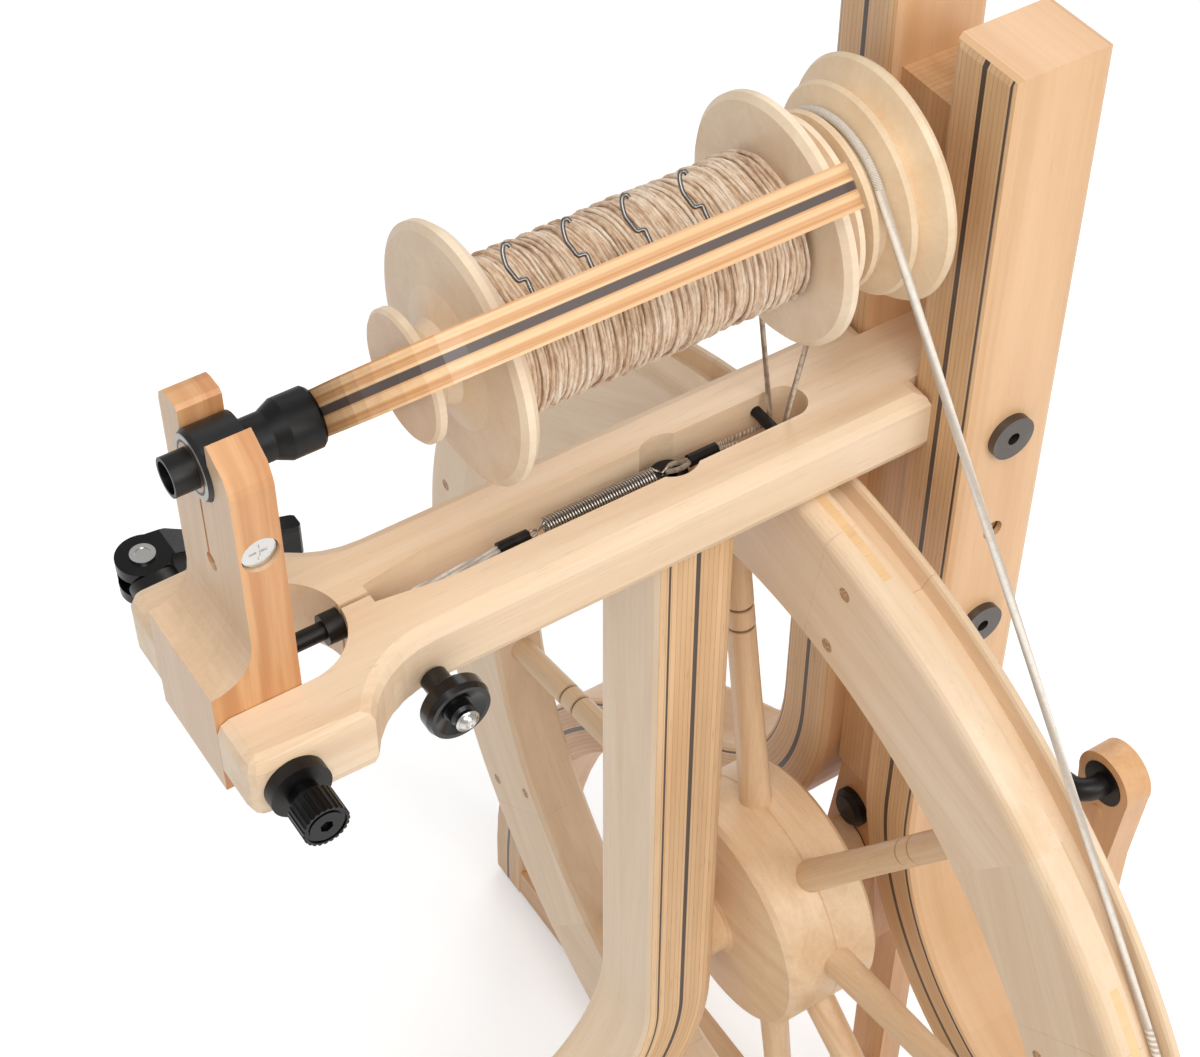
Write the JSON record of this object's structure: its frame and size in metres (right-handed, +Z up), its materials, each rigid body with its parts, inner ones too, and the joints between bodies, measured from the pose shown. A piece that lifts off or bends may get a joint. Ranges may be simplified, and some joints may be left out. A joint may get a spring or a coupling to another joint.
{
  "type": "spinning wheel",
  "caption": "Upright double treadle spinning wheel with a flyer, bobbin and cord brake on an open board over a spoked rim wheel.",
  "frame": {"origin": "on the floor, under the middle of the whole model", "axes": "+X to the spinner's left seen from the orifice, +Y from the orifice back to the crank, +Z up"},
  "size_m": [0.5824, 0.4018, 0.762],
  "materials": {
    "laminate": "oiled laminated wood with fine plies and a dark centre ply",
    "maple": "satin lacquer",
    "turned_beech": "satin lacquer",
    "spline_wood": "satin lacquer",
    "black_steel": "black oxide",
    "gunmetal": "satin gunmetal",
    "black_plastic": "gloss",
    "bright_steel": "polished",
    "rubber": "matt",
    "cotton": "twisted cotton",
    "tan_cord": "twisted cord",
    "yarn_wool": "heathered wool"
  },
  "bodies": {
    "frame": {"front_post": "laminate", "rear_leg_left": "laminate", "rear_leg_right": "laminate", "mother_of_all": "maple", "spacer_board": "laminate", "axle_block": "laminate", "axle_bearings": "gunmetal", "side_bolts": "gunmetal", "bearing_block": "laminate", "flyer_bush": "black_plastic", "keel": "laminate", "rear_crossbar": "laminate", "foot_pads": "rubber", "treadle_rod": "black_steel", "front_maiden": "maple", "maiden_bearing": "black_plastic", "maiden_screw": "bright_steel", "stop_screw": "black_steel", "skewer": "black_steel", "post_bolt": "black_steel", "block_bolt": "black_steel", "brake_pin": "black_steel", "brake_loop": "cotton", "brake_spring": "bright_steel", "brake_cord": "tan_cord", "cord_sleeves": "black_plastic", "drive_band": "cotton", "lever_pin": "bright_steel"},
    "wheel": {"rim_segment_1": "maple", "rim_segment_2": "maple", "rim_segment_3": "maple", "rim_segment_4": "maple", "rim_segment_5": "maple", "rim_segment_6": "maple", "rim_segment_7": "maple", "rim_segment_8": "maple", "rim_back": "maple", "rim_dowels": "turned_beech", "rim_splines": "spline_wood", "spokes": "turned_beech", "hub_front": "turned_beech", "hub_rear": "turned_beech", "crank_axle": "black_steel"},
    "footman_left": {"footman_left": "turned_beech", "bush_left": "black_plastic"},
    "footman_right": {"footman_right": "turned_beech", "bush_right": "black_plastic"},
    "treadle_left": {"treadle_left": "laminate"},
    "treadle_right": {"treadle_right": "laminate"},
    "flyer": {"flyer": "laminate", "orifice_tube": "black_steel", "flyer_cup": "black_plastic", "flyer_hooks": "bright_steel", "flyer_whorl": "maple"},
    "bobbin": {"bobbin": "maple", "yarn": "yarn_wool"},
    "release_lever": {"release_lever": "black_plastic"},
    "adjusting_nut": {"knurled_nut": "black_plastic"},
    "brake_peg": {"brake_peg": "black_plastic"}
  },
  "joints": [
    {"name": "wheel_spin", "type": "hinge", "parent": "frame", "child": "wheel", "pos_m": [0, 0.02486, 0.35], "axis": [0, 1, 0], "continuous": true},
    {"name": "flyer_spin", "type": "hinge", "parent": "frame", "child": "flyer", "pos_m": [0, 0.02486, 0.707], "axis": [0, 1, 0], "continuous": true},
    {"name": "bobbin_spin", "type": "hinge", "parent": "flyer", "child": "bobbin", "pos_m": [0, 0.02486, 0.707], "axis": [0, 1, 0], "continuous": true},
    {"name": "footman_left_swing", "type": "hinge", "parent": "wheel", "child": "footman_left", "pos_m": [-0.04037, 0.15286, 0.33842], "axis": [0, 1, 0], "continuous": true},
    {"name": "footman_right_swing", "type": "hinge", "parent": "wheel", "child": "footman_right", "pos_m": [0.04037, 0.18886, 0.36158], "axis": [0, 1, 0], "continuous": true},
    {"name": "treadle_left_rock", "type": "hinge", "parent": "frame", "child": "treadle_left", "pos_m": [-0.07, -0.14639, 0.034], "axis": [1, 0, 0], "range_deg": [-5.9, 10.7]},
    {"name": "treadle_right_rock", "type": "hinge", "parent": "frame", "child": "treadle_right", "pos_m": [0.07, -0.14639, 0.034], "axis": [1, 0, 0], "range_deg": [-9.4, 5.4]},
    {"name": "release_lever_swing", "type": "hinge", "parent": "frame", "child": "release_lever", "pos_m": [-0.0582, -0.17304, 0.6125], "axis": [0, 0, 1], "range_deg": [0, 90]},
    {"name": "adjusting_nut_turn", "type": "hinge", "parent": "frame", "child": "adjusting_nut", "pos_m": [0.05, -0.17304, 0.6125], "axis": [1, 0, 0], "continuous": true},
    {"name": "brake_peg_turn", "type": "hinge", "parent": "frame", "child": "brake_peg", "pos_m": [0.034, -0.11739, 0.6075], "axis": [1, 0, 0], "continuous": true}
  ],
  "couplings": [
    {"joint": "flyer_spin", "follows": "wheel_spin", "ratio": 8.9926},
    {"joint": "footman_left_swing", "follows": "wheel_spin", "ratio": -1},
    {"joint": "footman_right_swing", "follows": "wheel_spin", "ratio": -1}
  ]
}
